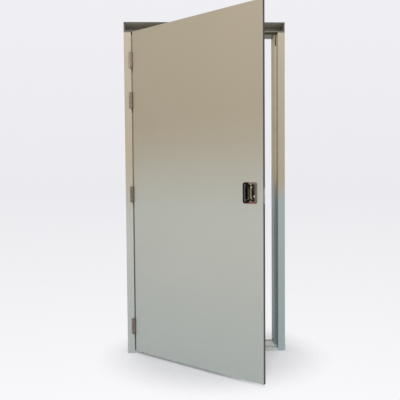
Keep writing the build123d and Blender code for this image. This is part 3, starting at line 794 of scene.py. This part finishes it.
def makeGrip():
    s = gripSettings
    middle = (handleLow + handleHigh) / 2
    half = s["shankWidth"] / 2
    y = handleLow.y + s["thickness"] / 2
    barLow = handleHigh.z - s["barHeight"]
    at = (middle.x, y, handleHigh.z - s["barHeight"] / 2)
    grip = addSolid("cube", "pull_grip", size=1.0, location=at,
                    scale=(s["shankWidth"] * s["neckShare"], s["thickness"], s["barHeight"]))
    reach = (handleHigh.x - handleLow.x) / 2 - half * s["neckShare"]
    for side in (-1, 1):
        pick(grip, lambda centre, normal: normal.x * side > facing and centre.z > barLow)
        for _ in range(s["armSteps"]):
            move = {"value": (side * reach / s["armSteps"], 0, 0)}
            bpy.ops.mesh.extrude_region_move(TRANSFORM_OT_translate=move)
    pinZ = handleLow.z + s["bossRadius"]
    neck = half * s["neckShare"]
    pick(grip, lambda centre, normal: normal.z < -facing and abs(centre.x - middle.x) < neck)
    shankSteps = s["shankSteps"]
    run = barLow - pinZ
    share = s["neckShare"]
    for step in range(1, shankSteps + 1):
        bpy.ops.mesh.extrude_region_move(TRANSFORM_OT_translate={"value": (0, 0, -run / shankSteps)})
        wider = s["neckShare"] + (1 - s["neckShare"]) * step / shankSteps
        pivot = (middle.x, y, barLow - run * step / shankSteps)
        bpy.ops.transform.resize(value=(wider / share, 1, 1), center_override=pivot)
        share = wider
    armEnd = (handleHigh.x - handleLow.x) / 2 - nearly
    pick(grip, lambda a, b: runsAlongY(a, b) and abs(a.x - middle.x) > armEnd, "EDGE")
    bpy.ops.mesh.bevel(offset=s["barCorner"], segments=s["barCornerSteps"])
    pick(grip, lambda a, b: runsAlongY(a, b) and abs(abs(a.x - middle.x) - neck) < s["neckReach"]
         and abs(a.z - barLow) < s["neckReach"], "EDGE")
    bpy.ops.mesh.bevel(offset=s["neckRound"], segments=s["neckRoundSteps"])
    bpy.ops.object.mode_set(mode="OBJECT")
    applied(grip, "BEVEL", width=s["softEdge"], segments=s["softSteps"], limit_method="ANGLE",
            angle_limit=s["sharp"])
    bossPlace = (middle.x, handleHigh.y - s["bossRadius"], pinZ)
    boss = addSolid("cylinder", "boss", vertices=s["bossSides"], radius=s["bossRadius"],
                    depth=s["shankWidth"], location=bossPlace, rotation=(0, math.pi / 2, 0))
    applied(boss, "BEVEL", width=s["bossEdge"], segments=2, limit_method="ANGLE", angle_limit=s["sharp"])
    applied(grip, "BOOLEAN", operation="UNION", object=boss, solver="EXACT")
    startClean()
    boss.select_set(True)
    bpy.ops.object.delete()
    finished(grip, "handle", "polished_stainless", ("pull_handle",), smooth=35)


# Countersunk screws with a cross recess: one is modelled, then copied to every place of its group

screwSettings = {
    "headRadius": 3.4 * mm,
    "headEdge": 0.2 * mm,
    "shankRadius": 1.9 * mm,
    "length": 9.0 * mm,
    "sides": 36,
    "tipShare": 0.5,
    "thread": 1.0 * mm,
    "threadDepth": 0.25 * mm,
    "recessWidth": 0.9 * mm,
    "recessSpan": 3.9 * mm,
    "recessDepth": 1.5 * mm,
    "leanStep": 0.7,  # radians, so that no two in a group stop at the same angle
}


def makeScrew():  # head at the origin, pointing along x
    s = screwSettings
    sink = s["headRadius"] - s["shankRadius"]
    screw = addSolid("cylinder", "screw", vertices=s["sides"], radius=s["headRadius"],
                     depth=s["headEdge"], location=(0, 0, s["headEdge"] / 2))
    pick(screw, lambda centre, normal: normal.z > facing)
    run = sink - s["headEdge"]
    bpy.ops.mesh.extrude_region_move(TRANSFORM_OT_translate={"value": (0, 0, run)})
    taper = s["shankRadius"] / s["headRadius"]
    bpy.ops.transform.resize(value=(taper, taper, 1), center_override=(0, 0, sink))
    deep, wide = sink, True
    root = 1 - s["threadDepth"] / s["shankRadius"]
    while deep < s["length"] - s["thread"]:  # crests and roots of the thread
        share = root if wide else 1 / root
        deep += s["thread"] / 2
        wide = not wide
        bpy.ops.mesh.extrude_region_move(TRANSFORM_OT_translate={"value": (0, 0, s["thread"] / 2)})
        bpy.ops.transform.resize(value=(share, share, 1), center_override=(0, 0, deep))
    bpy.ops.mesh.extrude_region_move(TRANSFORM_OT_translate={"value": (0, 0, s["length"] - deep)})
    bpy.ops.transform.resize(value=(s["tipShare"], s["tipShare"], 1), center_override=(0, 0, s["length"]))
    bpy.ops.object.mode_set(mode="OBJECT")
    for turn in (0, math.pi / 2):
        slot = addSolid("cube", "recess", size=1.0, rotation=(0, 0, turn + math.pi / 4),
                        scale=(s["recessSpan"], s["recessWidth"], 2 * s["recessDepth"]))
        applied(screw, "BOOLEAN", operation="DIFFERENCE", object=slot, solver="EXACT")
        startClean()
        slot.select_set(True)
        bpy.ops.object.delete()
    startClean()
    screw.select_set(True)
    bpy.context.view_layer.objects.active = screw
    bpy.ops.transform.rotate(value=-math.pi / 2, orient_axis="Y", center_override=(0, 0, 0))
    bpy.ops.object.transform_apply(location=True, rotation=True, scale=True)
    return screw


def screwPlaces(node, swings, pointing):  # the head's middle of every screw in a group, door shut
    mesh = frame["nodes"][node].data
    leader = list(range(len(mesh.vertices)))

    def root(i):
        while leader[i] != i:
            leader[i] = leader[leader[i]]
            i = leader[i]
        return i

    for edge in mesh.edges:
        leader[root(edge.vertices[0])] = root(edge.vertices[1])
    groups = {}
    for i, vertex in enumerate(mesh.vertices):
        at = shut @ vertex.co if swings else vertex.co
        groups.setdefault(root(i), []).append(at)
    heads = {}
    for points in groups.values():
        low = Vector([min(p[i] for p in points) for i in range(3)])
        high = Vector([max(p[i] for p in points) for i in range(3)])
        middle = (low + high) / 2
        centre = middle - pointing * middle.dot(pointing)  # on the screw's own line
        start = min(p.dot(pointing) for p in points)
        key = tuple(round(part, 3) for part in centre)  # to the millimetre
        heads[key] = min(start, heads.get(key, start))
    return [Vector(key) + pointing * heads[key] for key in sorted(heads)]


def placeScrews():
    model = makeScrew()
    groups = (
        ("frame_wing_screws", "frame", False, Vector((0, 1, 0)), "frame_wing_screw"),
        ("door_wing_screws", "leaf", True, Vector((1, 0, 0)), "door_wing_screw"),
        ("strike_screws", "frame", False, Vector((1, 0, 0)), "strike_screw"),
        ("face_plate_screws", "leaf", True, Vector((-1, 0, 0)), "face_plate_screw"),
    )
    for node, body, swings, pointing, name in groups:
        turn = pointing.to_track_quat("X", "Z").to_matrix().to_4x4()
        for number, place in enumerate(screwPlaces(node, swings, pointing), start=1):
            piece = model.copy()
            piece.data = model.data.copy()
            bpy.context.scene.collection.objects.link(piece)
            piece.name = name + "_" + str(number)
            piece.data.name = piece.name
            lean = Matrix.Rotation(number * screwSettings["leanStep"], 4, "X")
            piece.matrix_world = Matrix.Translation(place) @ turn @ lean
            finished(piece, body, "plated_steel", (node,), swings)
    startClean()
    model.select_set(True)
    bpy.ops.object.delete()


makeDish()
makeGrip()
placeScrews()

# Stage: a pale floor that fades into a white studio, one soft light high in front, and the camera

stageSettings = {
    "floorHalf": 14.0,
    "fadeMiddle": (0.04, -0.08),
    "fadeReach": (0.79, 0.70),  # the floor is clear beyond this far across and along
    "fadeNear": 0.44,
    "floorColour": (234, 234, 237),
    "backdrop": ((0.0, (250, 250, 252)), (0.5, (235, 235, 239)), (1.0, (240, 240, 244))),
    "backdropRange": (-0.45, 0.40),  # how far down and up the backdrop's tones run
    "worldStrength": 0.66,
    "keyPlace": (-0.1, -3.6, 4.6),
    "keyAim": (0.0, -0.2, 1.15),
    "keySize": 1.3,
    "keyPower": 103.0,
}


def makeFloor():
    s = stageSettings
    bpy.ops.object.select_all(action="DESELECT")
    bpy.ops.mesh.primitive_plane_add(size=2 * s["floorHalf"], location=(0, 0, 0))
    floor = bpy.context.object
    floor.name = "studio_floor"
    finish = Finish("studio floor", Roughness=0.95, Specular_IOR_Level=0.0)
    finish.shader.inputs["Base Color"].default_value = linear(s["floorColour"])
    spread = (1 / s["fadeReach"][0], 1 / s["fadeReach"][1], 1)
    offset = (-s["fadeMiddle"][0] * spread[0], -s["fadeMiddle"][1] * spread[1], 0)
    middle = finish.moved(location=offset, scale=spread)
    distance = finish.add("ShaderNodeVectorMath", {"operation": "LENGTH"}, {0: middle}, "Value")
    away = finish.band(distance, s["fadeNear"], 1.0)
    clear = finish.add("ShaderNodeBsdfTransparent", {}, {})
    mixed = finish.add("ShaderNodeMixShader", {}, {0: away})
    finish.tree.links.new(finish.shader.outputs[0], mixed.socket.node.inputs[1])
    finish.tree.links.new(clear.socket, mixed.socket.node.inputs[2])
    finish.tree.links.new(mixed.socket, finish.tree.nodes["Material Output"].inputs["Surface"])
    floor.data.materials.append(finish.material)


def makeWorld():
    world = bpy.data.worlds.new("studio")
    bpy.context.scene.world = world
    world.use_nodes = True
    tree = world.node_tree
    light = tree.nodes["Background"]
    light.inputs["Color"].default_value = (1, 1, 1, 1)
    light.inputs["Strength"].default_value = stageSettings["worldStrength"]
    seen = tree.nodes.new("ShaderNodeBackground")
    seen.inputs["Strength"].default_value = 1.0
    place = tree.nodes.new("ShaderNodeTexCoord")
    split = tree.nodes.new("ShaderNodeSeparateXYZ")
    ramp = tree.nodes.new("ShaderNodeValToRGB")
    climb = tree.nodes.new("ShaderNodeMapRange")
    climb.inputs[1].default_value = stageSettings["backdropRange"][0]
    climb.inputs[2].default_value = stageSettings["backdropRange"][1]
    stops = stageSettings["backdrop"]
    while len(ramp.color_ramp.elements) < len(stops):
        ramp.color_ramp.elements.new(0.5)
    for element, (position, colour) in zip(ramp.color_ramp.elements, stops):
        element.position = position
        element.color = linear(colour)
    rays = tree.nodes.new("ShaderNodeLightPath")
    seenOrMirrored = tree.nodes.new("ShaderNodeMath")
    seenOrMirrored.operation = "MAXIMUM"
    shown = tree.nodes.new("ShaderNodeMath")
    shown.operation = "MAXIMUM"
    mix = tree.nodes.new("ShaderNodeMixShader")
    tree.links.new(place.outputs["Generated"], split.inputs[0])
    tree.links.new(split.outputs["Z"], climb.inputs[0])
    tree.links.new(climb.outputs[0], ramp.inputs[0])
    tree.links.new(ramp.outputs[0], seen.inputs["Color"])
    tree.links.new(rays.outputs["Is Camera Ray"], seenOrMirrored.inputs[0])
    tree.links.new(rays.outputs["Is Glossy Ray"], seenOrMirrored.inputs[1])
    tree.links.new(seenOrMirrored.outputs[0], shown.inputs[0])
    tree.links.new(rays.outputs["Is Transmission Ray"], shown.inputs[1])
    tree.links.new(shown.outputs[0], mix.inputs[0])
    tree.links.new(light.outputs[0], mix.inputs[1])
    tree.links.new(seen.outputs[0], mix.inputs[2])
    tree.links.new(mix.outputs[0], tree.nodes["World Output"].inputs["Surface"])


def addSoftLight(name, place, aim, size, power):
    lamp = bpy.data.lights.new(name, "AREA")
    lamp.shape = "DISK"
    lamp.size = size
    lamp.energy = power
    holder = bpy.data.objects.new(name, lamp)
    bpy.context.scene.collection.objects.link(holder)
    holder.location = place
    holder.rotation_euler = (Vector(aim) - Vector(place)).to_track_quat("-Z", "Y").to_euler()


cameraSettings = {
    "place": (-0.13, -3.09, 1.10),
    "lens": 42.6,
    "sensor": 36.0,
    "yaw": 1.75,  # degrees to the right of straight on
    "pitch": 2.15,  # degrees down
    "roll": -0.45,
}


def placeCamera():
    s = cameraSettings
    camera = bpy.data.cameras.new("photo camera")
    camera.lens = s["lens"]
    camera.sensor_width = s["sensor"]
    holder = bpy.data.objects.new("photo camera", camera)
    bpy.context.scene.collection.objects.link(holder)
    turn = Matrix.Rotation(math.radians(-s["yaw"]), 4, "Z")
    tilt = Matrix.Rotation(math.radians(90 - s["pitch"]), 4, "X")
    roll = Matrix.Rotation(math.radians(s["roll"]), 4, "Z")
    holder.matrix_world = Matrix.Translation(s["place"]) @ turn @ tilt @ roll
    bpy.context.scene.camera = holder


makeFloor()
makeWorld()
addSoftLight("key", stageSettings["keyPlace"], stageSettings["keyAim"], stageSettings["keySize"],
             stageSettings["keyPower"])
placeCamera()
bpy.context.scene.view_settings.view_transform = "Standard"
print("floor, studio, light and camera placed")
